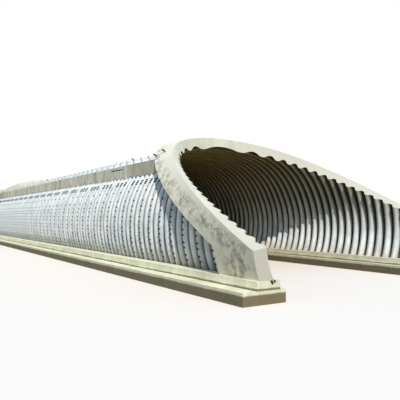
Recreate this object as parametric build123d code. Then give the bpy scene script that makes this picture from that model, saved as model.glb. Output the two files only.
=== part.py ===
"""Corrugated steel arch bridge with cast concrete collars, modelled at half its real size.

A barrel of deep-corrugated steel plates stands in keyways on two strip footings. Both ends are cut
to a slope and finished by a cast collar, whose inner edge follows every wave of the steel. A thrust
beam is cast along each shoulder, between the collars.

X runs across the span, Y along the barrel and Z up. The origin is on the ground, at mid-length.
"""

import os
from math import asin, atan2, cos, degrees, floor, hypot, radians, sin, sqrt

from build123d import *

SCALE = 0.5  # the model's size over the real one's

# Corrugated sheet
PITCH = 381 * SCALE
WAVE_DEPTH = 140 * SCALE
SHEET = 7 * SCALE
WAVE_RADIUS = 79.5 * SCALE  # of crests and valleys, at the middle of the sheet

# Outline of the barrel, at the middle of the corrugated sheet; angles are from the vertical
CROWN_RADIUS = 7315 * SCALE
SIDE_RADIUS = 3105 * SCALE
CROWN_ANGLE = 16.33  # where the crown's arc meets the side's
SHOULDER_ANGLE = 48.0  # the long seam under the thrust beam
SEAM_ANGLE = 60.0  # the long seam between the shoulder plates and the lower ones
ARCH_DROP = 1217 * SCALE  # from the side arc's centre down to the top of the footing
KEY_DEPTH = 80 * SCALE  # how far the sheet stands down into the footing's keyway

# Length of the barrel, in whole waves from mid-length, where a crest lies
TOE_WAVES = 57.77  # to the foot of the sloped end
BAY_BEHIND = 3  # waves from the crown's front end back to the joint beside the sloped end
CROWN_BAY_WAVES = 12  # to the joint of the crown plates

# Sloped ends and their collars
TOE_HEIGHT = 785 * SCALE  # upright part of the end, above the footing
END_SLOPE = 2.1213  # run over rise of the end's front
COLLAR_DEPTH = 1650 * SCALE  # along the barrel, at the top of the upright part
COLLAR_TOP_DEPTH = 1221 * SCALE  # along the barrel, at the crown
COLLAR_OUT = 400 * SCALE  # from the middle of the sheet to the collar's outside

# Thrust beams
BEAM_DROP = 817 * SCALE  # from the middle of the crown's sheet down to the beam's top
BEAM_HEIGHT = 530 * SCALE
BEAM_LEDGE = 12 * SCALE  # from the crests' depth out to the beam's face, along its underside
BEAM_BAY_WAVES = 12

# Footings
STEM_HEIGHT = 236 * SCALE
STEM_LEDGE = 240 * SCALE  # from the stem's inner edge out to the middle of the sheet
STEM_WIDTH = 740 * SCALE
PAD_HEIGHT = 335 * SCALE
PAD_LEDGE = 180 * SCALE  # how far the pad stands out past the stem, inside
PAD_WIDTH = 1350 * SCALE
CHANNEL_WALL = 6 * SCALE
CHANNEL_LEG = 50 * SCALE

SEAT = 0.3  # between curved faces that are cast or laid against each other
REACH = 3 * PITCH  # how far a cutting tool runs past what it cuts

FOOTING_TOP = PAD_HEIGHT + STEM_HEIGHT
CENTRE_X = (CROWN_RADIUS - SIDE_RADIUS) * sin(radians(CROWN_ANGLE))
CENTRE_Z = FOOTING_TOP + ARCH_DROP
CROWN_CENTRE_Z = CENTRE_Z - (CROWN_RADIUS - SIDE_RADIUS) * cos(radians(CROWN_ANGLE))
FOOT_ANGLE = 90 + degrees(asin((ARCH_DROP + KEY_DEPTH) / SIDE_RADIUS))
TOE_Y = -TOE_WAVES * PITCH
TOE_ANGLE = 90 + degrees(asin((ARCH_DROP - TOE_HEIGHT) / SIDE_RADIUS))
CROWN_Z = CROWN_CENTRE_Z + CROWN_RADIUS
BEAM_TOP = CROWN_Z - BEAM_DROP
STEM_INSIDE = CENTRE_X + sqrt(SIDE_RADIUS ** 2 - ARCH_DROP ** 2) - STEM_LEDGE


def arc_centre(angle):
    """Centre and radius of the barrel's arc at an angle from the vertical, towards +X."""
    if abs(angle) <= CROWN_ANGLE:
        return 0.0, CROWN_CENTRE_Z, CROWN_RADIUS
    side = 1 if angle > 0 else -1
    return side * CENTRE_X, CENTRE_Z, SIDE_RADIUS


def arch_point(angle, out, y):
    """A point at an angle of the arch, a distance out from the middle of the sheet."""
    x, z, radius = arc_centre(angle)
    turn = radians(angle)
    return x + (radius + out) * sin(turn), y, z + (radius + out) * cos(turn)


def front_y(angle):
    """Where the sloped front lies at an angle of the arch. The front is square to the sheet."""
    rise = arch_point(angle, 0, 0)[2] - FOOTING_TOP - TOE_HEIGHT
    return TOE_Y + END_SLOPE * rise


def back_y(angle):
    """Where the collar's back lies at an angle of the arch."""
    foot_z = arch_point(TOE_ANGLE, COLLAR_OUT, 0)[2]
    share = (arch_point(angle, COLLAR_OUT, 0)[2] - foot_z) / (CROWN_Z + COLLAR_OUT - foot_z)
    foot_y = TOE_Y + COLLAR_DEPTH
    return foot_y + (front_y(0) + COLLAR_TOP_DEPTH - foot_y) * share


def wave_edges(first, last, radius, offset):
    """The line of the corrugation from one crest to another, offset from the middle of the sheet."""
    lean = atan2(WAVE_DEPTH / 2 - WAVE_RADIUS, PITCH / 4)
    flank = lean + asin(WAVE_RADIUS / hypot(PITCH / 4, WAVE_DEPTH / 2 - WAVE_RADIUS))
    crest, valley = WAVE_RADIUS + offset, WAVE_RADIUS - offset
    crest_mid = radius + WAVE_DEPTH / 2 - WAVE_RADIUS
    valley_mid = radius - WAVE_DEPTH / 2 + WAVE_RADIUS

    def on_crest(wave, turn):
        return wave * PITCH + crest * sin(turn), crest_mid + crest * cos(turn)

    def on_valley(wave, turn):
        return (wave + 0.5) * PITCH + valley * sin(turn), valley_mid - valley * cos(turn)

    edges = []
    for wave in range(first, last):
        start = 0 if wave == first else -flank
        edges.append(ThreePointArc(on_crest(wave, start), on_crest(wave, (start + flank) / 2),
                                   on_crest(wave, flank)))
        edges.append(Line(on_crest(wave, flank), on_valley(wave, -flank)))
        edges.append(ThreePointArc(on_valley(wave, -flank), on_valley(wave, 0), on_valley(wave, flank)))
        edges.append(Line(on_valley(wave, flank), on_crest(wave + 1, -flank)))
    edges.append(ThreePointArc(on_crest(last, -flank), on_crest(last, -flank / 2), on_crest(last, 0)))
    return edges


def ring_solid(outer, inner, low, high):
    """The area between two lines from the same start to the same end, turned about the arc's axis."""
    ends = [Line(outer[0] @ 0, inner[0] @ 0), Line(outer[-1] @ 1, inner[-1] @ 1)]
    x, z, _ = arc_centre((low + high) / 2)
    turn = radians(low)
    start = Plane(origin=(x, 0, z), x_dir=(0, 1, 0), z_dir=(cos(turn), 0, -sin(turn)))
    face = start * make_face(outer + inner + ends)
    return revolve(face, Axis((x, 0, z), (0, 1, 0)), high - low)


def corrugated_plate(first, last, low, high):
    """A curved corrugated plate between two crests and two angles."""
    radius = arc_centre((low + high) / 2)[2]
    outer = wave_edges(first, last, radius, SHEET / 2)
    inner = wave_edges(first, last, radius, -SHEET / 2)
    return ring_solid(outer, inner, low, high)


def barrel_core(first, last, low, high):
    """All that lies inside the outer face of the sheet, down to one pitch in."""
    radius = arc_centre((low + high) / 2)[2]
    outer = wave_edges(first, last, radius, SHEET / 2 + SEAT)
    inner = [Line((first * PITCH, radius - PITCH), (last * PITCH, radius - PITCH))]
    return ring_solid(outer, inner, low, high)


def angles_between(low, high, step=6.0):
    """Even angles from low to high, no further apart than the step."""
    count = max(2, int((high - low) / step) + 2)
    return [low + (high - low) * i / (count - 1) for i in range(count)]


def radial_loft(angles, inside, outside, near_y, far_y):
    """A body whose sections are rectangles in the arch's radial planes."""
    sections = []
    for angle in angles:
        corners = [arch_point(angle, out, y) for out, y in (
            (inside, near_y(angle)), (outside, near_y(angle)),
            (outside, far_y(angle)), (inside, far_y(angle)))]
        sections.append(make_face(Polyline(*corners, close=True)))
    return loft(sections)


def front_cutter(low, high):
    """What lies in front of the sloped end, between two angles."""
    margin = 1.0
    return radial_loft(angles_between(low - margin, high + margin), -WAVE_DEPTH, WAVE_DEPTH,
                       lambda angle: TOE_Y - REACH, front_y)


def slab(x, y, z):
    """A box between pairs of values along X, Y and Z."""
    size = [high - low for low, high in (x, y, z)]
    middle = [(low + high) / 2 for low, high in (x, y, z)]
    return Pos(*middle) * Box(*size)


def beam_along(points, first_y, last_y):
    """A straight body along the barrel, from a section given as X and Z of its corners."""
    section = make_face(Polyline(*[(x, first_y, z) for x, z in points], close=True))
    return extrude(section, last_y - first_y, dir=(0, 1, 0))


def end_plates(last, low, high):
    """The plates of one row at the sloped end, from the slope to a crest."""
    first = floor(max(front_y(high), TOE_Y) / PITCH)
    plates = corrugated_plate(first, last, low, high) - front_cutter(low, high)
    if front_y(high) < TOE_Y:
        plates -= slab((0, 2 * SIDE_RADIUS), (TOE_Y - REACH, TOE_Y), (0, CENTRE_Z))
    return plates


def collar():
    """The cast ring round the sloped end, with an upright foot on each side."""
    ring = radial_loft(angles_between(-TOE_ANGLE, TOE_ANGLE), -WAVE_DEPTH, COLLAR_OUT, front_y, back_y)
    foot_section = [(TOE_Y, SIDE_RADIUS - WAVE_DEPTH), (TOE_Y + COLLAR_DEPTH, SIDE_RADIUS - WAVE_DEPTH)]
    top_section = [(TOE_Y, SIDE_RADIUS + COLLAR_OUT), (TOE_Y + COLLAR_DEPTH, SIDE_RADIUS + COLLAR_OUT)]
    foot = ring_solid([Line(*top_section)], [Line(*foot_section)], TOE_ANGLE, FOOT_ANGLE)
    foot -= slab((0, 2 * SIDE_RADIUS), (TOE_Y - REACH, 0), (0, FOOTING_TOP))
    cast = ring + foot + mirror(foot, about=Plane.YZ)
    first, last = floor(TOE_Y / PITCH), floor(back_y(0) / PITCH) + 1
    side_core = barrel_core(first, last, CROWN_ANGLE, FOOT_ANGLE)
    return cast - side_core - mirror(side_core, about=Plane.YZ) - barrel_core(
        first, last, -CROWN_ANGLE, CROWN_ANGLE)


def side_x(height, out):
    """How far from the centreline the side arc lies at a height, a distance out from the sheet."""
    return CENTRE_X + sqrt((SIDE_RADIUS + out) ** 2 - (height - CENTRE_Z) ** 2)


def thrust_beam(first, last):
    """The beam on the right shoulder, between two crests, cast against the sheet."""
    bottom = BEAM_TOP - BEAM_HEIGHT
    face = side_x(bottom, 0) + WAVE_DEPTH / 2 + BEAM_LEDGE
    section = [(face, bottom), (face, BEAM_TOP), (side_x(BEAM_TOP, -WAVE_DEPTH), BEAM_TOP),
               (side_x(bottom, -WAVE_DEPTH), bottom)]
    beam = beam_along(section, first * PITCH, last * PITCH)
    return beam - barrel_core(first, last, CROWN_ANGLE, TOE_ANGLE)


def end_beam(last):
    """The thrust beam from the back of the collar to a crest."""
    angles = angles_between(CROWN_ANGLE + 1, SEAM_ANGLE + 10)
    first = floor(back_y(angles[-1]) / PITCH)
    in_front = radial_loft(angles, -2 * WAVE_DEPTH, 2 * COLLAR_OUT,
                           lambda angle: TOE_Y - REACH, lambda angle: back_y(angle) + SEAT)
    return thrust_beam(first, last) - in_front


def key_frame():
    """The plane of the sheet's lower edge on the right, x outward and y up along the sheet."""
    turn = radians(FOOT_ANGLE)
    return Plane(origin=arch_point(FOOT_ANGLE, 0, TOE_Y), x_dir=(sin(turn), 0, cos(turn)),
                 z_dir=(0, -1, 0))


def footing_stem():
    """The upper, narrow part of the right footing, with the keyway for the sheet."""
    stem = slab((STEM_INSIDE, STEM_INSIDE + STEM_WIDTH), (TOE_Y, -TOE_Y), (PAD_HEIGHT, FOOTING_TOP))
    half = WAVE_DEPTH / 2 + SHEET / 2 + SEAT + CHANNEL_WALL
    corners = [(-half, -CHANNEL_WALL), (half, -CHANNEL_WALL), (half, 2 * KEY_DEPTH),
               (-half, 2 * KEY_DEPTH)]
    keyway = extrude(key_frame() * make_face(Polyline(*corners, close=True)), -2 * TOE_Y, dir=(0, 1, 0))
    return stem - keyway


def footing_pad():
    """The wide lower part of the right footing, down to the ground that it stands on."""
    inside = STEM_INSIDE - PAD_LEDGE
    return slab((inside, inside + PAD_WIDTH), (TOE_Y, -TOE_Y), (0, PAD_HEIGHT))


def base_channel():
    """The steel channel in the right keyway, in which the lower edge of the sheet stands."""
    outer = WAVE_DEPTH / 2 + SHEET / 2 + SEAT + CHANNEL_WALL
    inner = outer - CHANNEL_WALL
    corners = [(-outer, -CHANNEL_WALL), (outer, -CHANNEL_WALL), (outer, CHANNEL_LEG), (inner, CHANNEL_LEG),
               (inner, 0), (-inner, 0), (-inner, CHANNEL_LEG), (-outer, CHANNEL_LEG)]
    return extrude(key_frame() * make_face(Polyline(*corners, close=True)), -2 * TOE_Y, dir=(0, 1, 0))


def both_sides(name, body):
    """A body of the right side and its twin on the left, by name."""
    return {f"{name}_right": body, f"{name}_left": mirror(body, about=Plane.YZ)}


def both_ends(name, body):
    """A body at the near end that is alike on both sides, and its twin at the far end, by name."""
    return {f"{name}_near": body, f"{name}_far": Rot(0, 0, 180) * body}


def four_corners(name, body):
    """A body of the near right quarter and its twins in the other three, by name."""
    left = mirror(body, about=Plane.YZ)
    return {f"{name}_near_right": body, f"{name}_near_left": left,
            f"{name}_far_left": Rot(0, 0, 180) * body, f"{name}_far_right": Rot(0, 0, 180) * left}


def all_parts():
    """Every piece of the bridge by name."""
    crown_near = end_plates(-CROWN_BAY_WAVES, -CROWN_ANGLE, CROWN_ANGLE)
    crown_middle = corrugated_plate(-CROWN_BAY_WAVES, CROWN_BAY_WAVES, -CROWN_ANGLE, CROWN_ANGLE)
    parts = both_ends("collar", collar()) | both_ends("crown_plates", crown_near)
    parts["crown_plates_middle"] = crown_middle
    bay = floor(-front_y(0) / PITCH) - BAY_BEHIND
    rows = {"upper": (CROWN_ANGLE, SHOULDER_ANGLE), "shoulder": (SHOULDER_ANGLE, SEAM_ANGLE),
            "lower": (SEAM_ANGLE, FOOT_ANGLE)}
    for row, (low, high) in rows.items():
        parts |= four_corners(f"{row}_end_plates", end_plates(-bay, low, high))
        parts |= four_corners(f"{row}_plates", corrugated_plate(-bay, 0, low, high))
    parts |= four_corners("thrust_beam", end_beam(-BEAM_BAY_WAVES))
    parts |= both_sides("thrust_beam_middle", thrust_beam(-BEAM_BAY_WAVES, BEAM_BAY_WAVES))
    parts |= both_sides("footing_stem", footing_stem())
    parts |= both_sides("footing_pad", footing_pad())
    parts |= both_sides("base_channel", base_channel())
    return parts


os.makedirs("parts", exist_ok=True)
for part_name, part_body in all_parts().items():
    export_step(part_body, f"parts/{part_name}.step")
    print(part_name, len(part_body.solids()), round(part_body.volume / 1e6, 3))
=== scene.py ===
# %% [markdown]
# # A corrugated steel arch bridge, at half its real size
# The bridge is a barrel of deep-corrugated galvanised plates, bolted together. It stands on two
# strip footings, and each end is cut to a slope and finished by a cast concrete collar. A thrust
# beam is cast along each shoulder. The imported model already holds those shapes, so this script
# keeps them and adds what they lack: finishes, laps, bolts, lifting loops, light and a camera.
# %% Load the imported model
from math import asin, atan2, cos, degrees, floor, hypot, pi, radians, sin

import bpy
import numpy as np
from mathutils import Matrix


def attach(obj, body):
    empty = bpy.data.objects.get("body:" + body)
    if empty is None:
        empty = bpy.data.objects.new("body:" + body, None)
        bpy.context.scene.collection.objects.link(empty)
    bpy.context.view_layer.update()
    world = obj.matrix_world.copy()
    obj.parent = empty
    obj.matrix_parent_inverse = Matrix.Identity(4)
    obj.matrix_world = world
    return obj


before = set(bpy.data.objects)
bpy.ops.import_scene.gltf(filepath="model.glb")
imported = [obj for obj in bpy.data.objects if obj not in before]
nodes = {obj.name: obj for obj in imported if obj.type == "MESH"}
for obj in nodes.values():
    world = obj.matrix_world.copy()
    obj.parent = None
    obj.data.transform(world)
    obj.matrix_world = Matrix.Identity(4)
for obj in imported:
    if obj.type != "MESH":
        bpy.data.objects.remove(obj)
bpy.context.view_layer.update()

# %% [markdown]
# ## Sizes
# Every length below is the real one in millimetres, turned to metres of this half-size model by one
# function. The numbers are the ones that the plates and castings were drawn with, so what is added
# here lies on them with no fitting.
# %% Real sizes


def model(real_mm):
    """A real length in millimetres as metres of the half-size model."""
    return real_mm * 0.5 / 1000


PITCH = model(381)  # one corrugation
WAVE_DEPTH = model(140)
SHEET = model(7)
WAVE_RADIUS = model(79.5)  # of crests and valleys
CROWN_RADIUS = model(7315)
SIDE_RADIUS = model(3105)
CROWN_ANGLE = 16.33  # degrees from the vertical, where the crown's arc meets the side's
SEAM_ANGLE = 60.0  # the long seam under the thrust beam
FOOTING_TOP = model(571)  # above the ground
ARCH_DROP = model(1217)  # from the side arc's centre down to the footing's top
TOE_HEIGHT = model(785)  # of the upright part of each end, above the footing
TOE_Y = -57.77 * PITCH  # the near end's lowest point
END_SLOPE = 2.1213  # run over rise of the sloped end
BACK_SLOPE = 1.786  # the same for the collar's back
COLLAR_DEPTH = model(1650)  # along the barrel, at its lower end
COLLAR_OUT = model(400)  # from the middle of the sheet
BEAM_TOP = FOOTING_TOP + model(3675)
BEAM_BOTTOM = BEAM_TOP - model(530)

CENTRE_X = (CROWN_RADIUS - SIDE_RADIUS) * sin(radians(CROWN_ANGLE))
CENTRE_Z = FOOTING_TOP + ARCH_DROP
CROWN_ARC = CROWN_RADIUS * radians(CROWN_ANGLE)  # half the crown's arc
CROWN_CENTRE_Z = CENTRE_Z - (CROWN_RADIUS - SIDE_RADIUS) * cos(radians(CROWN_ANGLE))
FOOT_ANGLE = 90 + degrees(asin(ARCH_DROP / SIDE_RADIUS))
TOE_ANGLE = 90 + degrees(asin((ARCH_DROP - TOE_HEIGHT) / SIDE_RADIUS))
print("the barrel meets its footing at", round(FOOT_ANGLE, 1), "degrees from the crown")

# %% [markdown]
# ## Places on the arch
# The barrel's section is three arcs. A place on it is an angle from the vertical, a distance out
# from the middle of the sheet and a place along the barrel. Rows of bolts are counted along the
# arc, so one function turns a length of arc into its angle.
# %% Places on the arch


def arch_point(angle, out, y):
    """A point at an angle of the arch, in degrees, a distance out from the middle of the sheet."""
    turn = radians(angle)
    if abs(angle) <= CROWN_ANGLE:
        x, z, radius = 0.0, CROWN_CENTRE_Z, CROWN_RADIUS + out
    else:
        x, z, radius = CENTRE_X if angle > 0 else -CENTRE_X, CENTRE_Z, SIDE_RADIUS + out
    return x + radius * sin(turn), y, z + radius * cos(turn)


def angle_of_arc(arc):
    """The angle at a length of arc from the crown."""
    if arc <= CROWN_ARC:
        return degrees(arc / CROWN_RADIUS)
    return CROWN_ANGLE + degrees((arc - CROWN_ARC) / SIDE_RADIUS)


def front_y(angle):
    """Where the barrel's sloped end lies at an angle."""
    rise = arch_point(angle, 0, 0)[2] - FOOTING_TOP - TOE_HEIGHT
    return TOE_Y + END_SLOPE * max(0.0, rise)


def collar_back_y(angle):
    """Where the collar's back lies at an angle."""
    rise = arch_point(angle, COLLAR_OUT, 0)[2] - arch_point(TOE_ANGLE, COLLAR_OUT, 0)[2]
    return TOE_Y + COLLAR_DEPTH + BACK_SLOPE * max(0.0, rise)


print("60 degree seam at", round(arch_point(SEAM_ANGLE, 0, 0)[2], 3), "m high")

# %% [markdown]
# ## Colours and nodes
# Colours are written as sRGB hex values, as they look on a screen. A shader wants them linear, so
# one function turns them. Another adds a node, sets what it is told to and links what it is given:
# that keeps each material down to the lines that say something about it.
# %% Colour and node helpers


def colour(hex_value):
    """An sRGB hex value as linear red, green, blue and alpha."""
    parts = [int(hex_value[i:i + 2], 16) / 255 for i in (1, 3, 5)]
    return [p / 12.92 if p <= 0.04045 else ((p + 0.055) / 1.055) ** 2.4 for p in parts] + [1.0]


def add(tree, kind, inputs=None, stops=(), **settings):
    """Adds a node. Inputs are values or sockets, by name or number; stops are a ramp's."""
    node = tree.nodes.new("ShaderNode" + kind)
    for name, value in settings.items():
        setattr(node, name, value)
    for name, value in (inputs or {}).items():
        if isinstance(value, bpy.types.NodeSocket):
            tree.links.new(value, node.inputs[name])
        else:
            node.inputs[name].default_value = value
    for number, (place, shade) in enumerate(stops):
        elements = node.color_ramp.elements
        stop = elements[number] if number < 2 else elements.new(place)
        stop.position, stop.color = place, shade
    return node


def new_material(name):
    """An empty node material with its shader, and the place on the object in metres."""
    material = bpy.data.materials.new(name)
    material.use_nodes = True
    tree = material.node_tree
    place = add(tree, "TexCoord").outputs["Object"]
    return material, tree, tree.nodes["Principled BSDF"], place


print("steel white", [round(v, 3) for v in colour("#d5dade")])

# %% [markdown]
# ## Where weather and painted shade lie on the barrel
# Rain runs round the curve and dust browns the inside. The grooves on both sides are darkened,
# partly as dirt and partly as painted shade: wide bands of it deep inside, and narrow ones low down
# near the mouths. A picture wrapped round the barrel could show all that, but then it would fit no
# other barrel. Three helpers work it out instead from a point's place and its face's direction.
# %% Weather on the barrel


def round_and_along(tree, place, round_per_m, along_per_m):
    """Coordinates that follow the barrel: round its curve and along its length."""
    axes = add(tree, "SeparateXYZ", {0: place}).outputs
    height = add(tree, "Math", {0: axes["Z"], 1: CENTRE_Z}, operation="SUBTRACT").outputs[0]
    turn = add(tree, "Math", {0: axes["X"], 1: height}, operation="ARCTAN2").outputs[0]
    around = add(tree, "Math", {0: turn, 1: SIDE_RADIUS * round_per_m},
                 operation="MULTIPLY").outputs[0]
    along = add(tree, "Math", {0: axes["Y"], 1: along_per_m}, operation="MULTIPLY").outputs[0]
    return add(tree, "CombineXYZ", {0: around, 1: along}).outputs[0]


def outward(tree, place):
    """How far the surface faces out from the barrel's axis, from -1 to 1."""
    from_axis = add(tree, "VectorMath", {0: place, 1: (0, 0, CENTRE_Z)},
                    operation="SUBTRACT").outputs[0]
    flat = add(tree, "VectorMath", {0: from_axis, 1: (1, 0, 1)}, operation="MULTIPLY").outputs[0]
    unit = add(tree, "VectorMath", {0: flat}, operation="NORMALIZE").outputs[0]
    normal = add(tree, "NewGeometry").outputs["True Normal"]
    return add(tree, "VectorMath", {0: unit, 1: normal}, operation="DOT_PRODUCT").outputs["Value"]


def groove_dirt_and_shade(tree, place, facing_in):
    """1 at the bottom of each groove, as seen from the side that the face is on.

    Depth runs from -1 on a crest to 1 in a groove. The darkening, partly grime and partly painted
    shade, starts at one depth and is full at another, and the power to which it is then raised
    narrows it.
    """
    axes = add(tree, "SeparateXYZ", {0: place}).outputs
    turn = add(tree, "Math", {0: axes["Y"], 1: 2 * pi / PITCH}, operation="MULTIPLY").outputs[0]
    wave = add(tree, "Math", {0: turn}, operation="COSINE").outputs[0]
    side = add(tree, "MapRange", {"Value": facing_in, "To Min": -1.0, "To Max": 1.0}).outputs[0]
    depth = add(tree, "Math", {0: wave, 1: side}, operation="MULTIPLY").outputs[0]
    # Painted shade: the groove darkening is made narrower low down and near the mouths.
    low_down = add(tree, "MapRange", {"Value": axes["Z"], "From Min": model(1200),
                                      "From Max": model(3000), "To Min": 4.2,
                                      "To Max": 0.65}).outputs[0]
    from_middle = add(tree, "Math", {0: axes["Y"]}, operation="ABSOLUTE").outputs[0]
    near_mouth = add(tree, "MapRange", {"Value": from_middle, "From Min": model(9600),
                                        "From Max": model(11800), "To Min": 0.5,
                                        "To Max": 4.2}).outputs[0]
    painted_light_factor = add(tree, "Math", {0: low_down, 1: near_mouth}, operation="MINIMUM").outputs[0]
    start = add(tree, "MapRange", {"Value": facing_in, "To Min": -0.2, "To Max": -0.6}).outputs[0]
    full_inside = add(tree, "MapRange", {"Value": painted_light_factor, "From Min": 0.8, "From Max": 3.0,
                                         "To Min": 0.45, "To Max": 0.9}).outputs[0]
    full = add(tree, "MapRange", {"Value": facing_in, "To Min": 0.35,
                                  "To Max": full_inside}).outputs[0]
    low = add(tree, "MapRange", {"Value": depth, "From Min": start, "From Max": full}).outputs[0]
    narrow = add(tree, "MapRange", {"Value": facing_in, "To Min": 1.2, "To Max": painted_light_factor}).outputs[0]
    return add(tree, "Math", {0: low, 1: narrow}, operation="POWER").outputs[0]


print("a groove every", round(PITCH * 1000, 1), "mm")

# %% [markdown]
# ## Galvanised sheet
# The plates are hot-rolled steel, corrugated cold and then dipped in molten zinc. New zinc is
# bright and crystalline, and within a year outdoors it grows a matt carbonate skin in patches. So
# the finish is part metal and part matt, changing over a few decimetres, with faint crystals and
# run-off streaks down the curve. Spangle is 10 to 20 mm across on real sheet, which is finer than a
# pixel here, so it is drawn at 60 mm. Inside, the vault is brown, partly from dust and damp and
# partly as painted shade, most of all at the crown, where the brown is also darkest. The grooves
# are darkened too, partly as dirt and partly as painted shade.
# %% Galvanised sheet


def galvanised_sheet():
    """Hot-dip galvanised corrugated plate, weathered, with painted shade in its grooves and vault.
    """
    material, tree, shader, place = new_material("hot_dip_galvanised_plate")
    patches = add(tree, "TexNoise", {"Vector": place, "Scale": 1 / model(500), "Detail": 5.0,
                                     "Roughness": 0.6}).outputs["Fac"]
    patina = add(tree, "MapRange", {"Value": patches, "From Min": 0.38,
                                    "From Max": 0.62}).outputs[0]
    spangle = add(tree, "TexVoronoi", {"Vector": place, "Scale": 1 / model(60)}).outputs["Color"]
    runs = add(tree, "TexNoise", {"Vector": round_and_along(tree, place, 1.2, 1 / model(60)),
                                  "Scale": 1.0, "Detail": 3.0}).outputs["Fac"]

    zinc = add(tree, "Mix", {0: patina, 6: colour("#eceeec"), 7: colour("#d4dadd")},
               data_type="RGBA").outputs[2]
    crystals = add(tree, "MapRange", {"Value": spangle, "To Min": 0.93, "To Max": 1.05}).outputs[0]
    streaks = add(tree, "MapRange", {"Value": runs, "From Min": 0.42, "From Max": 0.75,
                                     "To Min": 1.03, "To Max": 0.84}).outputs[0]
    worn = add(tree, "Math", {0: crystals, 1: streaks}, operation="MULTIPLY").outputs[0]
    facing_in = add(tree, "MapRange", {"Value": outward(tree, place), "From Min": 0.05,
                                       "From Max": -0.05}).outputs[0]
    # Painted shade: the grooves are darkened, partly as dirt and partly as the shade that falls in
    # them.
    groove_dirt_and_shade_strength = add(tree, "MapRange", {"Value": facing_in, "To Min": 0.71, "To Max": 0.98}).outputs[0]
    groove_dirt_and_shade_share = add(tree, "Math", {0: groove_dirt_and_shade(tree, place, facing_in), 1: groove_dirt_and_shade_strength},
                  operation="MULTIPLY").outputs[0]
    kept = add(tree, "Math", {0: 1.0, 1: groove_dirt_and_shade_share}, operation="SUBTRACT").outputs[0]
    sheltered = add(tree, "MapRange", {"Value": facing_in, "To Min": 1.0,
                                       "To Max": 1.07}).outputs[0]
    newer = add(tree, "Math", {0: worn, 1: sheltered}, operation="MULTIPLY").outputs[0]
    bright = add(tree, "Math", {0: newer, 1: kept}, operation="MULTIPLY").outputs[0]
    weathered = add(tree, "VectorMath", {0: zinc, "Scale": bright}, operation="SCALE").outputs[0]

    # Painted shade: the vault's brown, growing towards the crown, is partly dust and partly the
    # vault's shade.
    height = add(tree, "SeparateXYZ", {0: place}).outputs["Z"]
    brown_and_shade_by_height = add(tree, "MapRange", {"Value": height, "From Min": model(1300),
                                     "From Max": model(4400), "To Min": 0.07,
                                     "To Max": 0.98}).outputs[0]
    uneven = add(tree, "MapRange", {"Value": runs, "To Min": 0.7, "To Max": 1.2}).outputs[0]
    brown_and_shade_share = add(tree, "Math", {0: brown_and_shade_by_height, 1: uneven}, operation="MULTIPLY").outputs[0]
    vault_brown_and_shade = add(tree, "Math", {0: brown_and_shade_share, 1: facing_in}, operation="MULTIPLY",
                     use_clamp=True).outputs[0]
    blotchy = add(tree, "MapRange", {"Value": patches, "From Min": 0.35, "From Max": 0.65,
                                     "To Min": 0.65, "To Max": 1.35}).outputs[0]
    # Painted shade: the brown is darkened further near the crown.
    crown_painted_shade = add(tree, "MapRange", {"Value": height, "From Min": model(3300),
                                   "From Max": model(4800), "To Min": 1.03,
                                   "To Max": 0.78}).outputs[0]
    patchy = add(tree, "Math", {0: blotchy, 1: crown_painted_shade}, operation="MULTIPLY").outputs[0]
    lifted = add(tree, "Math", {0: kept, 1: patchy}, operation="MULTIPLY").outputs[0]
    brown = add(tree, "VectorMath", {0: colour("#a39355")[:3], "Scale": lifted},
                operation="SCALE").outputs[0]
    vaulted = add(tree, "Mix", {0: vault_brown_and_shade, 6: weathered, 7: brown}, data_type="RGBA").outputs[2]

    splash = add(tree, "MapRange", {"Value": height, "From Min": FOOTING_TOP + model(500),
                                    "From Max": FOOTING_TOP, "To Max": 0.55}).outputs[0]
    earth = add(tree, "Math", {0: splash, 1: uneven}, operation="MULTIPLY",
                use_clamp=True).outputs[0]
    dusty = add(tree, "Mix", {0: earth, 6: vaulted, 7: colour("#a39478")},
                data_type="RGBA").outputs[2]
    tree.links.new(dusty, shader.inputs["Base Color"])

    metal = add(tree, "MapRange", {"Value": patina, "To Min": 0.22, "To Max": 0.1}).outputs[0]
    clean = add(tree, "Math", {0: 1.0, 1: vault_brown_and_shade}, operation="SUBTRACT").outputs[0]
    bare = add(tree, "Math", {0: metal, 1: clean}, operation="MULTIPLY").outputs[0]
    tree.links.new(bare, shader.inputs["Metallic"])
    gloss = add(tree, "MapRange", {"Value": facing_in, "To Min": 0.4, "To Max": 0.2}).outputs[0]
    tree.links.new(gloss, shader.inputs["Specular IOR Level"])
    rough = add(tree, "MapRange", {"Value": patina, "To Min": 0.5, "To Max": 0.66}).outputs[0]
    tree.links.new(rough, shader.inputs["Roughness"])
    grain = add(tree, "Bump", {"Height": patches, "Strength": 0.2, "Distance": model(2)}).outputs[0]
    tree.links.new(grain, shader.inputs["Normal"])
    return material


plate_finish = galvanised_sheet()
print(plate_finish.name, len(plate_finish.node_tree.nodes), "shader nodes")

# %% [markdown]
# ## Concretes
# All the concrete is cast in place, in plywood forms. The collar is the palest: dry, sun-bleached
# and trowelled in front, and blotched grey on the outside, where rain stands. The thrust beam has
# drips down its face, and the footings have been wet, so they are olive and brown. One recipe
# serves all four: patches of two colours, a sandy grain, stains, and pores that the forms left.
# Pores are 5 to 15 mm on real concrete and are drawn at 25 mm, to show at all.
# %% Cast concrete
STREAK_LENGTH = 7  # times as long as wide


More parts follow.
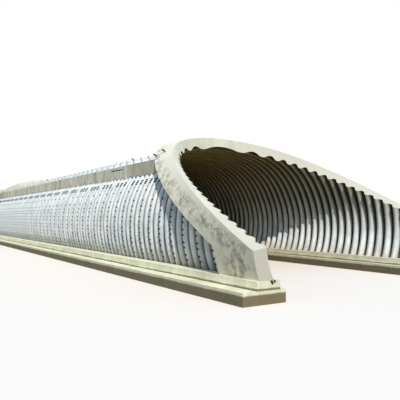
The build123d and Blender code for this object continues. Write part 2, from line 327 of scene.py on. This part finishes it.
def cast_concrete(name, pale, dark, stain, stain_share, streaks_per_m):
    """Concrete cast against plywood. Its stains run down, as close together as streaks_per_m."""
    material, tree, shader, place = new_material(name)
    patches = add(tree, "TexNoise", {"Vector": place, "Scale": 1 / model(900), "Detail": 8.0,
                                     "Roughness": 0.65}).outputs["Fac"]
    base = add(tree, "ValToRGB", {"Fac": patches},
               stops=[(0.35, colour(dark)), (0.62, colour(pale))]).outputs["Color"]
    sand = add(tree, "TexNoise", {"Vector": place, "Scale": 1 / model(25),
                                  "Detail": 3.0}).outputs["Fac"]
    sanded = add(tree, "MapRange", {"Value": sand, "From Min": 0.3, "From Max": 0.7,
                                    "To Min": 0.86, "To Max": 1.1}).outputs[0]
    grained = add(tree, "VectorMath", {0: base, "Scale": sanded}, operation="SCALE").outputs[0]

    squeeze = (streaks_per_m, streaks_per_m, streaks_per_m / STREAK_LENGTH)
    stretched = add(tree, "VectorMath", {0: place, 1: squeeze}, operation="MULTIPLY").outputs[0]
    drips = add(tree, "TexNoise", {"Vector": stretched, "Scale": 1.0, "Detail": 6.0,
                                   "Roughness": 0.7}).outputs["Fac"]
    stained = add(tree, "MapRange", {"Value": drips, "From Min": 0.45, "From Max": 0.66,
                                     "To Max": stain_share}).outputs[0]
    surface = add(tree, "Mix", {0: stained, 6: grained, 7: colour(stain)},
                  data_type="RGBA").outputs[2]

    pores = add(tree, "TexVoronoi", {"Vector": place, "Scale": 1 / model(90)}).outputs["Distance"]
    pits = add(tree, "MapRange", {"Value": pores, "From Min": 0.06, "From Max": 0.12}).outputs[0]
    relief = add(tree, "Math", {0: pits, 1: sand}, operation="ADD").outputs[0]
    bumped = add(tree, "Bump", {"Height": relief, "Strength": 0.6, "Distance": model(8)}).outputs[0]
    tree.links.new(bumped, shader.inputs["Normal"])
    shader.inputs["Roughness"].default_value = 0.88
    shader.inputs["Specular IOR Level"].default_value = 0.3
    tree.links.new(surface, shader.inputs["Base Color"])
    return material, tree, shader, place, surface


def stain_or_painted_light_over(tree, shader, surface, mask, stain):
    """Lays one more stain, painted light or painted shade over a surface, where the mask is 1, and
    returns the new surface.
    """
    laid = add(tree, "Mix", {0: mask, 6: surface, 7: colour(stain)}, data_type="RGBA").outputs[2]
    tree.links.new(laid, shader.inputs["Base Color"])
    return laid


# %% [markdown]
# The collar's outer face is made paler as painted light, and grey blotches of lichen lie along its
# middle.
# They are a coarse noise, kept to faces that look away from the barrel's axis and to a band halfway
# between the sloped front and the back. Both ends are alike, so the band is measured without the
# sign of y. The sloped front gets duller down towards its toes, where splashed mud reaches it, and
# along its right half, where more dust has settled.
# %% Collar concrete
BAND_MIDDLE = 0.45 * COLLAR_DEPTH  # behind the sloped front
BAND_CORE = 0.15 * COLLAR_DEPTH  # each side of the band's middle, where lichen is thickest


def collar_concrete():
    """The palest concrete, made paler outside as painted light, with grey blotches of lichen there.
    """
    material, tree, shader, place, surface = cast_concrete(
        "cast_concrete_sun_bleached", "#f5efdc", "#e8e0ca", "#c0b8a2", 0.3, 1 / model(300))
    blotches = add(tree, "TexNoise", {"Vector": place, "Scale": 1 / model(260), "Detail": 9.0,
                                      "Roughness": 0.75}).outputs["Fac"]
    grey = add(tree, "MapRange", {"Value": blotches, "From Min": 0.44, "From Max": 0.6,
                                  "To Max": 0.85}).outputs[0]
    outside = add(tree, "MapRange", {"Value": outward(tree, place), "From Min": 0.3,
                                     "From Max": 0.8}).outputs[0]
    # Painted light: faces that look out from the barrel are made paler, to read as more brightly
    # lit.
    painted_light_factor = add(tree, "Math", {0: outside, 1: 0.85}, operation="MULTIPLY").outputs[0]
    surface = stain_or_painted_light_over(tree, shader, surface, painted_light_factor, "#fbf0da")
    axes = add(tree, "SeparateXYZ", {0: place}).outputs
    low_down = add(tree, "MapRange", {"Value": axes["Z"], "From Min": model(3300),
                                      "From Max": model(1300)}).outputs[0]
    to_right = add(tree, "MapRange", {"Value": axes["X"], "From Min": model(200),
                                      "From Max": model(3000)}).outputs[0]
    either = add(tree, "Math", {0: low_down, 1: to_right}, operation="MAXIMUM").outputs[0]
    in_front = add(tree, "Math", {0: 1.0, 1: outside}, operation="SUBTRACT").outputs[0]
    soiled = add(tree, "Math", {0: either, 1: in_front}, operation="MULTIPLY").outputs[0]
    surface = stain_or_painted_light_over(tree, shader, surface, soiled, "#d0cab9")
    rise = add(tree, "Math", {0: axes["Z"], 1: FOOTING_TOP + TOE_HEIGHT},
               operation="SUBTRACT").outputs[0]
    above_toe = add(tree, "Math", {0: rise, 1: 0.0}, operation="MAXIMUM").outputs[0]
    front = add(tree, "Math", {0: above_toe, 1: END_SLOPE, 2: TOE_Y},
                operation="MULTIPLY_ADD").outputs[0]
    from_middle = add(tree, "Math", {0: axes["Y"]}, operation="ABSOLUTE").outputs[0]
    behind = add(tree, "Math", {0: front, 1: from_middle}, operation="ADD").outputs[0]
    off_band = add(tree, "Math", {0: behind, 1: BAND_MIDDLE}, operation="ADD").outputs[0]
    off_band = add(tree, "Math", {0: off_band}, operation="ABSOLUTE").outputs[0]
    band = add(tree, "MapRange", {"Value": off_band, "From Min": BAND_MIDDLE,
                                  "From Max": BAND_CORE, "To Min": 0.1}).outputs[0]
    banded = add(tree, "Math", {0: outside, 1: band}, operation="MULTIPLY").outputs[0]
    lichen = add(tree, "Math", {0: grey, 1: banded}, operation="MULTIPLY").outputs[0]
    stain_or_painted_light_over(tree, shader, surface, lichen, "#8c8974")
    return material


collar_finish = collar_concrete()
print(collar_finish.name, len(collar_finish.node_tree.nodes), "shader nodes")

# %% [markdown]
# The beam's face has close, long drips from its upper edge, and it is browner beside the collars,
# which drain on to it. Near the sloped end a form joint has opened just under that edge, half a
# metre long at this scale, and the shade inside it is painted on as a thin dark mark.
# %% Beam concrete
MARK_HEIGHT = BEAM_TOP - model(140)
MARK_HALF_HEIGHT = model(24)
MARK_MIDDLE = -5.79  # metres along the barrel
MARK_LENGTH = model(1150)


def beam_concrete():
    """Streaked concrete, browner by the collars, with the painted shade of one opened joint."""
    material, tree, shader, place, surface = cast_concrete(
        "cast_concrete_rain_streaked", "#fff7e0", "#f5ebd2", "#a99b7e", 0.75, 1 / model(210))
    axes = add(tree, "SeparateXYZ", {0: place}).outputs
    from_middle = add(tree, "Math", {0: axes["Y"]}, operation="ABSOLUTE").outputs[0]
    by_collar = add(tree, "MapRange", {"Value": from_middle, "From Min": model(12300),
                                       "From Max": model(14000), "To Max": 0.42}).outputs[0]
    surface = stain_or_painted_light_over(tree, shader, surface, by_collar, "#93815f")
    # Painted shade: the shade inside the opened joint, drawn as a dark mark in the colour.
    edge = add(tree, "TexNoise", {"Vector": place, "Scale": 1 / model(150),
                                  "Detail": 4.0}).outputs["Fac"]
    wander = add(tree, "MapRange", {"Value": edge, "To Min": -model(45),
                                    "To Max": model(45)}).outputs[0]
    level = add(tree, "Math", {0: axes["Z"], 1: wander}, operation="ADD").outputs[0]
    in_height = add(tree, "Math", {0: level, 1: MARK_HEIGHT, 2: MARK_HALF_HEIGHT},
                    operation="COMPARE").outputs[0]
    in_length = add(tree, "Math", {0: axes["Y"], 1: MARK_MIDDLE, 2: MARK_LENGTH / 2},
                    operation="COMPARE").outputs[0]
    joint_shade = add(tree, "Math", {0: in_height, 1: in_length}, operation="MULTIPLY").outputs[0]
    stain_or_painted_light_over(tree, shader, surface, joint_shade, "#4c4a40")
    return material


beam_finish = beam_concrete()
print(beam_finish.name, len(beam_finish.node_tree.nodes), "shader nodes")

# %% [markdown]
# The upper part of each footing is a pale olive band, with a dark line of painted shade in the
# crease where it meets the wide lower part. That part has a pale upper edge and a brown, darker
# face below.
# %% Footing concretes
PAD_TOP = model(335)


def wavering_height(tree, place, patch_size, waver):
    """The height above the ground, shifted by up to the waver, in patches of a size."""
    height = add(tree, "SeparateXYZ", {0: place}).outputs["Z"]
    uneven = add(tree, "TexNoise", {"Vector": place, "Scale": 1 / patch_size,
                                    "Detail": 6.0}).outputs["Fac"]
    return add(tree, "Math", {0: uneven, 1: waver, 2: height},
               operation="MULTIPLY_ADD").outputs[0]


def stem_concrete():
    """Pale olive concrete with a line of painted shade in the crease at its lower edge."""
    material, tree, shader, place, surface = cast_concrete(
        "cast_concrete_washed", "#fdf9de", "#ece6c4", "#c6be99", 0.35, 1 / model(250))
    height = wavering_height(tree, place, model(600), -model(80))
    # Painted shade: a dark line where the stem meets the pad, for the shade in that crease.
    crease_shade = add(tree, "MapRange", {"Value": height, "From Min": PAD_TOP + model(20),
                                 "From Max": PAD_TOP, "To Max": 0.8}).outputs[0]
    stain_or_painted_light_over(tree, shader, surface, crease_shade, "#5b5233")
    return material


def pad_concrete():
    """Concrete that is brown and darker up to just under its upper edge."""
    material, tree, shader, place, surface = cast_concrete(
        "cast_concrete_dark_faced", "#fbf5d8", "#e6dfbd", "#c0b692", 0.35, 1 / model(250))
    height = wavering_height(tree, place, model(700), model(60))
    darker_below_edge = add(tree, "MapRange", {"Value": height, "From Min": PAD_TOP - model(30),
                                 "From Max": PAD_TOP - model(70), "To Max": 0.85}).outputs[0]
    stain_or_painted_light_over(tree, shader, surface, darker_below_edge, "#5f5029")
    return material


stem_finish, pad_finish = stem_concrete(), pad_concrete()
print(stem_finish.name, pad_finish.name)

# %% [markdown]
# ## Bolts and loops
# The bolts are high-strength steel, spun in zinc and gone dull; they look dark against the plates,
# partly as painted shade round each one. The lifting loops are bare reinforcing bar, rusted brown.
# %% Small steel


def small_steel(name, pale, dark, metallic, roughness):
    """Steel of two shades, in patches about as large as a bolt head."""
    material, tree, shader, place = new_material(name)
    patches = add(tree, "TexNoise", {"Vector": place, "Scale": 1 / model(45),
                                     "Detail": 4.0}).outputs["Fac"]
    shade = add(tree, "ValToRGB", {"Fac": patches},
                stops=[(0.4, colour(dark)), (0.62, colour(pale))]).outputs["Color"]
    tree.links.new(shade, shader.inputs["Base Color"])
    shader.inputs["Metallic"].default_value = metallic
    rough = add(tree, "MapRange", {"Value": patches, "To Min": roughness - 0.12,
                                   "To Max": roughness + 0.12}).outputs[0]
    tree.links.new(rough, shader.inputs["Roughness"])
    return material


# Painted shade: the bolts' near-black stands partly for the shade round each one.
bolt_finish_and_painted_shade = small_steel("spun_galvanised_bolt_steel_painted_dark", "#3f3f39", "#21211e", 0.2, 0.7)
loop_finish = small_steel("rusted_reinforcing_bar", "#4a382d", "#2a211b", 0.2, 0.85)
channel_finish = small_steel("dipped_channel_steel", "#9a9b8e", "#77776a", 0.5, 0.55)

# %% [markdown]
# ## Give each node its finish
# The nodes are named for what they are, so the first words of a name pick its finish.
# %% Finishes by node name
FINISHES = {"collar": collar_finish, "thrust_beam": beam_finish, "footing_stem": stem_finish,
            "footing_pad": pad_finish, "base_channel": channel_finish}
for name, node in nodes.items():
    finish = next((f for start, f in FINISHES.items() if name.startswith(start)), plate_finish)
    node.data.materials.clear()
    node.data.materials.append(finish)
print({f.name: sum(n.data.materials[0] == f for n in nodes.values()) for f in bpy.data.materials})

# %% [markdown]
# ## Making many small pieces
# Thousands of bolts as objects of their own would be slow, and heavy to export. Each kind of bolt
# is drawn once as points and faces, and copied into one mesh per region with a few lines of array
# arithmetic, which is quick and gives the same result every time.
# %% Mesh helpers
SHARP_EDGE = radians(35)
dice = np.random.default_rng(11)


def strip(sections):
    """A closed strip through sections that have the same number of points."""
    count = len(sections[0])
    points = [point for section in sections for point in section]
    last = (len(sections) - 1) * count
    faces = [tuple(range(count))[::-1], tuple(range(last, last + count))]
    for row in range(len(sections) - 1):
        for i in range(count):
            low, beside = row * count + i, row * count + (i + 1) % count
            faces.append((low, beside, beside + count, low + count))
    return points, faces


def mesh_piece(name, points, faces, finish):
    """A mesh object of the bridge, smooth but for its sharp edges."""
    mesh = bpy.data.meshes.new(name)
    mesh.from_pydata(points, [], faces)
    mesh.shade_smooth()
    mesh.set_sharp_from_angle(angle=SHARP_EDGE)
    mesh.materials.append(finish)
    piece = bpy.data.objects.new(name, mesh)
    bpy.context.scene.collection.objects.link(piece)
    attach(piece, "root")
    print(name, sum(len(face) - 2 for face in faces), "triangles")


def turned(sides, rings):
    """A closed part with that many sides, from the radius and height of its rings, bottom first."""
    return strip([[(radius * cos(2 * pi * i / sides), radius * sin(2 * pi * i / sides), height)
                   for i in range(sides)] for radius, height in rings])


def together(*parts):
    """Several parts as one."""
    points, faces = [], []
    for part_points, part_faces in parts:
        faces += [tuple(i + len(points) for i in face) for face in part_faces]
        points += part_points
    return points, faces


def set_out(name, part, places, finish):
    """One mesh with the part at every place: a point, and the direction that it stands in there."""
    points, faces = part
    shape = np.array(points)
    spots = np.array([spot for spot, _ in places])
    normals = np.array([normal for _, normal in places])
    first = np.tile([0.0, 1.0, 0.0], (len(places), 1))
    second = np.cross(normals, first)
    second /= np.linalg.norm(second, axis=1, keepdims=True)
    first = np.cross(second, normals)
    spin = dice.uniform(0, 2 * pi, (len(places), 1))
    across = first * np.cos(spin) + second * np.sin(spin)
    upward = np.cross(normals, across)
    corners = (spots[:, None] + shape[None, :, 0, None] * across[:, None]
               + shape[None, :, 1, None] * upward[:, None]
               + shape[None, :, 2, None] * normals[:, None])
    all_faces = [tuple(i + copy * len(points) for i in face)
                 for copy in range(len(places)) for face in faces]
    mesh_piece(name, corners.reshape(-1, 3).tolist(), all_faces, finish)


print("a six-sided bar has", len(turned(6, [(1, 0), (1, 1)])[1]), "faces")

# %% [markdown]
# ## The bolts
# Outside, each bolt shows a dished washer, a hexagon nut and the end of its thread. Inside it shows
# a washer and a hexagon head. They are M24, drawn true to size: 41 mm over the nut. Round a long
# seam they stand close and have washers of 46 mm. On a ring seam each stands alone, and its washer
# is 68 mm wide, to bear on the curve of the crest: in the picture those are the larger and darker
# dots.
# %% One bolt from outside and from inside
NUT = model(41) / 2 / cos(pi / 6)  # to the corners; 41 mm is over its flats
HEAD = NUT * 0.92  # a head is a little smaller
THREAD = model(12)
SUNK = model(6)  # a round washer sinks a little into the curved sheet


def nut_and_thread(washer):
    """The outside of a bolt with a washer of that radius: radii and heights above the sheet."""
    return together(
        turned(8, [(washer, -SUNK), (washer, model(3)), (washer * 0.7, model(7))]),
        turned(6, [(NUT, model(6)), (NUT, model(26)), (NUT * 0.86, model(29))]),
        turned(6, [(THREAD, model(28)), (THREAD, model(44))]))


def head(washer):
    """The inside of a bolt with a washer of that radius."""
    return together(
        turned(8, [(washer, -SUNK), (washer * 0.8, model(6))]),
        turned(6, [(HEAD, model(5)), (HEAD, model(18))]))


WASHERS = {"ring_seam": model(68) / 2, "long_seam": model(46) / 2}
for seam, washer in WASHERS.items():
    print(seam, "outside", sum(len(f) - 2 for f in nut_and_thread(washer)[1]), "triangles, inside",
          sum(len(f) - 2 for f in head(washer)[1]))

# %% [markdown]
# ## Where the bolts are
# Two kinds of seam hold the barrel together. A ring seam lies on every second crest, with one bolt
# about every 380 mm round the arc and a second row between in the heavily loaded lower part. A long
# seam runs along the barrel at 60 degrees, just under the thrust beam: there every crest has three
# pairs of bolts, with one crest in four left out, where four plates meet. A second long seam, each
# side of the crown, can't be made out bolt by bolt, and only its lap is drawn. Bolts that the
# collar or the beam would cover are left out.
# %% Bolt places
RING_SEAM_WAVES = 2  # from one ring seam to the next
PLATE_WAVES = 4  # from one crest where four plates meet to the next
ROW = PITCH  # from one bolt of a ring seam to the next, along the arc
LONG_SEAM_ROW = 11.55 * PITCH  # along the arc from the crown, as are the next two
FIRST_ROW = LONG_SEAM_ROW - 11 * ROW
EXTRA_ROW = 14.13 * PITCH
SEAM_ROW_GAP = model(72)  # between the three rows of a long seam
CLEAR_OF_SEAM = 0.3 * PITCH
CLEAR_OF_FOOTING = 1.0  # degrees
PAIR_TURN = 22.0  # degrees round the crest from its top to each bolt of a pair
CREST = WAVE_DEPTH / 2 - WAVE_RADIUS  # from the sheet's middle to the middle of a crest's curve
LAST_CREST = floor(-TOE_Y / PITCH)
LAST_BAY_CREST = 36  # beyond it the plates are cut to the slope and no four of them meet
BEAM_TEETH = model(30)  # the crests stand out under the beam by this much of its height
BEAM_CLEAR = model(60)  # room for a washer over the beam's top


def stand(angle, y, turn, reach):
    """A point on a crest near y, some degrees round it, and the direction outward there."""
    tip = radians(turn)
    crest_y = y + (WAVE_RADIUS + reach) * sin(tip)
    spot = arch_point(angle, CREST + (WAVE_RADIUS + reach) * cos(tip), crest_y)
    normal = (sin(radians(angle)) * cos(tip), sin(tip), cos(radians(angle)) * cos(tip))
    return spot, normal


def ring_rows():
    """The angles of a ring seam's bolts, on one side."""
    for arc in (FIRST_ROW, EXTRA_ROW):
        while angle_of_arc(arc) < FOOT_ANGLE - CLEAR_OF_FOOTING:
            if min(abs(arc - LONG_SEAM_ROW), abs(arc - CROWN_ARC)) > CLEAR_OF_SEAM:
                yield angle_of_arc(arc)
            arc += ROW


def seam_rows(arc):
    """The angles of a long seam's three rows."""
    return [angle_of_arc(arc + step * SEAM_ROW_GAP) for step in (-1, 0, 1)]


def bolt_spots():
    """Angle, place along the barrel and turn round the crest of every bolt."""
    for wave in range(-LAST_CREST, LAST_CREST + 1):
        for side in (-1, 1):
            if wave % RING_SEAM_WAVES == 0:
                for angle in ring_rows():
                    yield side * angle, wave * PITCH, 0.0
            if wave % PLATE_WAVES != 1 or abs(wave) > LAST_BAY_CREST:
                for angle in seam_rows(LONG_SEAM_ROW):
                    yield side * angle, wave * PITCH, -PAIR_TURN
                    yield side * angle, wave * PITCH, PAIR_TURN


def under_beam(angle):
    """Whether the thrust beam covers the bolts at an angle."""
    height = arch_point(angle, WAVE_DEPTH / 2, 0)[2]
    return BEAM_BOTTOM + BEAM_TEETH < height < BEAM_TOP + BEAM_CLEAR


spots = list(bolt_spots())
MARGIN = max(WASHERS.values())
outside_spots = [(angle, y, turn) for angle, y, turn in spots
                 if abs(y) < -collar_back_y(angle) - MARGIN and not under_beam(angle)]
inside_spots = [(angle, y, turn) for angle, y, turn in spots
                if abs(y) < -front_y(angle) - MARGIN]
print(len(outside_spots), "bolts outside,", len(inside_spots), "inside")

# %% [markdown]
# Each side of the barrel gets one mesh for each kind of seam, outside and inside. A bolt stays at
# whatever angle it was tightened to, so each copy is turned by a seeded draw.
# %% Set the bolts out
OUTSIDE_REACH = SHEET / 2 + SHEET  # a bolt stands on the lap
for side, region in ((-1, "left"), (1, "right")):
    for seam, washer in WASHERS.items():
        kind = (side, seam == "long_seam")
        outer = [stand(angle, y, turn, OUTSIDE_REACH) for angle, y, turn in outside_spots
                 if (np.sign(angle), turn != 0) == kind]
        set_out(f"{seam}_bolts_outside_{region}", nut_and_thread(washer), outer, bolt_finish_and_painted_shade)
        inner = [stand(angle, y, turn, -SHEET / 2) for angle, y, turn in inside_spots
                 if (np.sign(angle), turn != 0) == kind]
        inner = [(spot, tuple(-n for n in normal)) for spot, normal in inner]
        set_out(f"{seam}_bolts_inside_{region}", head(washer), inner, plate_finish)

# %% [markdown]
# ## Laps
# Where plates join, one lies over the other, and its edge shows as a step of one sheet's thickness.
# On a ring seam the lap is a narrow band along the crest. On a long seam it is a band that follows
# every wave. Both are built as closed strips from a section moved along a line, as a sweep would,
# but with the section's points worked out, so that they sit on the plate exactly.
# %% Ring seam laps
LAP_TURN = 34.0  # degrees each side of the crest
LAP_SIDES = 4
LAP_STEP = 3.0  # degrees of the arch between sections
LAP_END = FOOT_ANGLE - 0.2
BEDDED = model(0.6)  # how deep a lap sits in the sheet under it


def ring_lap(side, y):
    """The lap on one crest, from the collar or the crown down to the footing."""
    shown = [side * angle for angle in np.arange(0.0, FOOT_ANGLE, LAP_STEP)
             if collar_back_y(angle) < -abs(y)] + [side * LAP_END]
    if len(shown) < 2:
        return None
    sections = []
    for angle in shown:
        turns = np.linspace(-LAP_TURN, LAP_TURN, LAP_SIDES + 1)
        outer = [stand(angle, y, turn, OUTSIDE_REACH)[0] for turn in turns]
        inner = [stand(angle, y, turn, SHEET / 2 - BEDDED)[0] for turn in turns[::-1]]
        sections.append((outer + inner)[::side])
    return strip(sections)


for side, name in ((-1, "left"), (1, "right")):
    laps = [ring_lap(side, wave * PITCH) for wave in range(-LAST_CREST, LAST_CREST + 1)
            if wave % RING_SEAM_WAVES == 0]
    points, faces = together(*[lap for lap in laps if lap])
    mesh_piece("ring_seam_laps_" + name, points, faces, plate_finish)

# %% [markdown]
# The long laps need the wave itself: a round crest, a straight flank and a round valley. The
# flank's angle comes from the same tangent construction that the plates were drawn with.
# %% Long seam laps
LEAN = atan2(CREST, PITCH / 4)
FLANK = degrees(LEAN + asin(WAVE_RADIUS / hypot(PITCH / 4, CREST)))
WAVE_STEPS = 4
LAP_UP, LAP_DOWN = model(60), model(130)  # each way from the seam, along the arc


def wave_line(first, last, reach):
    """Places along the barrel and distances out of a line that follows the waves at a reach."""
    line = []
    for wave in range(first, last):
        for turn in np.radians(np.linspace(-FLANK, FLANK, WAVE_STEPS + 1)):
            line.append((wave * PITCH + (WAVE_RADIUS + reach) * sin(turn),
                         CREST + (WAVE_RADIUS + reach) * cos(turn)))
        for turn in np.radians(np.linspace(-FLANK, FLANK, WAVE_STEPS + 1)):
            line.append(((wave + 0.5) * PITCH + (WAVE_RADIUS - reach) * sin(turn),
                         -CREST - (WAVE_RADIUS - reach) * cos(turn)))
    return line


def long_lap(arc, side):
    """The lap along one long seam, between the collars."""
    high, low = angle_of_arc(arc - LAP_UP), angle_of_arc(arc + LAP_DOWN)
    last = int(-collar_back_y(high) / PITCH)
    outer = wave_line(-last, last, OUTSIDE_REACH)
    inner = wave_line(-last, last, SHEET / 2 - BEDDED)
    sections = []
    for (y_out, out), (y_in, inside) in zip(outer, inner):
        corners = [arch_point(side * high, out, y_out), arch_point(side * low, out, y_out),
                   arch_point(side * low, inside, y_in), arch_point(side * high, inside, y_in)]
        sections.append(corners[::-side])
    return strip(sections)


for side, name in ((-1, "left"), (1, "right")):
    seam_arc = CROWN_ARC + SIDE_RADIUS * radians(SEAM_ANGLE - CROWN_ANGLE)
    points, faces = together(long_lap(seam_arc, side), long_lap(CROWN_ARC, side))
    mesh_piece("long_seam_laps_" + name, points, faces, plate_finish)

# %% [markdown]
# ## Lifting loops
# Two loops of reinforcing bar stand out of each shoulder of a collar, and one pair on the crown
# beside it. They are bent bars: a curve with a round bevel follows one line and turns into a tube.
# Their feet are sunk in what they stand on.
# %% Lifting loops
BAR = model(34) / 2
LOOP_HEIGHT, LOOP_HALF = model(160), model(48)
LOOP_LEAN = 0.35  # sideways for each unit up
# Degrees from the crown, metres along the barrel and distance out from the middle of the sheet
LOOP_PLACES = [(39.0, -7.68, COLLAR_OUT), (42.5, -7.50, COLLAR_OUT), (10.3, -4.06, WAVE_DEPTH / 2)]


def loop_line(angle, y, out):
    """The points of one loop, leaning over to one side. Its shape is in half widths and heights."""
    base = np.array(arch_point(angle, out, y))
    upright = np.array([sin(radians(angle)), 0, cos(radians(angle))])
    along = np.array([0, 1.0, 0])
    lean = np.cross(upright, along) * np.sign(angle) * LOOP_LEAN
    shape = [(-1, -0.5), (-1, 0.3), (-0.85, 0.75), (0, 1), (0.85, 0.75), (1, 0.3), (1, -0.5)]
    return [base + along * LOOP_HALF * across + (upright - lean * max(up, 0)) * LOOP_HEIGHT * up
            for across, up in shape]


for end, name in ((1, "near"), (-1, "far")):
    curve = bpy.data.curves.new("lifting_loops_" + name, "CURVE")
    curve.dimensions = "3D"
    curve.bevel_depth = BAR
    curve.bevel_resolution = 2
    curve.use_fill_caps = True
    for angle, y, out in LOOP_PLACES:
        for side in (-1, 1):
            line = loop_line(side * angle, end * y, out)
            spline = curve.splines.new("NURBS")
            spline.points.add(len(line) - 1)
            for point, place in zip(spline.points, line):
                point.co = (*place, 1.0)
            spline.order_u = 3
            spline.use_endpoint_u = True
    curve.materials.append(loop_finish)
    loops = bpy.data.objects.new("lifting_loops_" + name, curve)
    bpy.context.scene.collection.objects.link(loops)
    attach(loops, "root")
    print(loops.name, len(curve.splines), "loops")

# %% [markdown]
# ## Floor and light
# The bridge stands on a plain pale floor. To the camera and in reflections the floor and the sky
# are white, as in a studio. Light that bounces off the floor is dimmer and warmer, so that the
# vault stays as dark as a tunnel is. One low sun from the front left gives the sunlit crescents on
# the far wall and the collar's shadow on the plates, and the pale blue sky fills the shadows.
# %% Floor
FLOOR_HALF = 400.0
FLOOR_CORNERS = ((-1, -1), (1, -1), (1, 1), (-1, 1))


def seen_or_lit(tree, seen, lit):
    """A colour for the camera and reflections, and another for the light that is sent on."""
    rays = add(tree, "LightPath").outputs
    direct = add(tree, "Math", {0: rays["Is Camera Ray"], 1: rays["Is Glossy Ray"]},
                 operation="ADD").outputs[0]
    direct = add(tree, "Math", {0: direct, 1: rays["Is Transmission Ray"]}, operation="ADD",
                 use_clamp=True).outputs[0]
    return add(tree, "Mix", {0: direct, 6: lit, 7: seen}, data_type="RGBA").outputs[2]


floor_mesh = bpy.data.meshes.new("studio_floor")
floor_mesh.from_pydata([(x * FLOOR_HALF, y * FLOOR_HALF, 0) for x, y in FLOOR_CORNERS],
                       [], [(0, 1, 2, 3)])
floor_object = bpy.data.objects.new("studio_floor", floor_mesh)
bpy.context.scene.collection.objects.link(floor_object)
floor_paint, tree, shader, _ = new_material("studio_floor_paint")
tree.links.new(seen_or_lit(tree, colour("#fff1e6"), colour("#7c6a4c")), shader.inputs["Base Color"])
shader.inputs["Roughness"].default_value = 0.9
shader.inputs["Specular IOR Level"].default_value = 0.0
floor_mesh.materials.append(floor_paint)
print("floor of", 2 * FLOOR_HALF, "m")

# %% [markdown]
# The sky is one flat colour, because a soft box or a clear sky gives the same even fill. Only its
# light is blue: what the camera sees of it is white paper.
# %% Sky
SKY_LIGHT = 0.72
world = bpy.data.worlds.new("studio_sky")
bpy.context.scene.world = world
world.use_nodes = True
tree = world.node_tree
sky = [value * SKY_LIGHT for value in colour("#9fcaec")[:3]] + [1.0]
tree.links.new(seen_or_lit(tree, colour("#ffffff"), sky), tree.nodes["Background"].inputs["Color"])
print("sky light", [round(value, 3) for value in sky[:3]])

# %% [markdown]
# A sun's disc is half a degree wide. A little more than that softens the collar's shadow on the
# plates to what the picture shows.
# %% Sun
SUN_ROUND, SUN_UP = 21.0, 44.0  # degrees left of the bridge's front and above the horizon
SUN_STRENGTH = 3.2
SUN_WIDTH = radians(0.8)
sun_light = bpy.data.lights.new("sun", "SUN")
sun_light.energy = SUN_STRENGTH
sun_light.angle = SUN_WIDTH
sun_light.color = colour("#fff9f0")[:3]
sun = bpy.data.objects.new("sun", sun_light)
sun.rotation_euler = (radians(90 - SUN_UP), 0, -radians(SUN_ROUND))
bpy.context.scene.collection.objects.link(sun)
print("sun", round(SUN_ROUND), "degrees left of the front,", round(SUN_UP), "up")

# %% [markdown]
# ## Camera
# The camera stands to the left of the near end and looks along the barrel to the right. On the real
# bridge it would be 1.5 m above the footing's top, the eye height of a person there. Its place,
# direction and lens come from matching the ends and the crests of the waves to the picture.
# %% Camera
LENS = 42.876  # mm, on a sensor of 36 mm
CAMERA_PLACE = (-5.914, -15.406, 1.0534)
CAMERA_UP, CAMERA_RIGHT = 2.029, 32.843  # degrees above level and to the right of the barrel
FAR_LIMIT = 1500.0
camera_data = bpy.data.cameras.new("camera")
camera_data.sensor_width = 36.0
camera_data.lens = LENS
camera_data.clip_end = FAR_LIMIT
camera = bpy.data.objects.new("camera", camera_data)
camera.location = CAMERA_PLACE
camera.rotation_euler = (radians(90 + CAMERA_UP), 0, -radians(CAMERA_RIGHT))
bpy.context.scene.collection.objects.link(camera)
bpy.context.scene.camera = camera
bpy.context.scene.view_settings.view_transform = "Standard"
print("camera at", [round(v, 3) for v in camera.location])
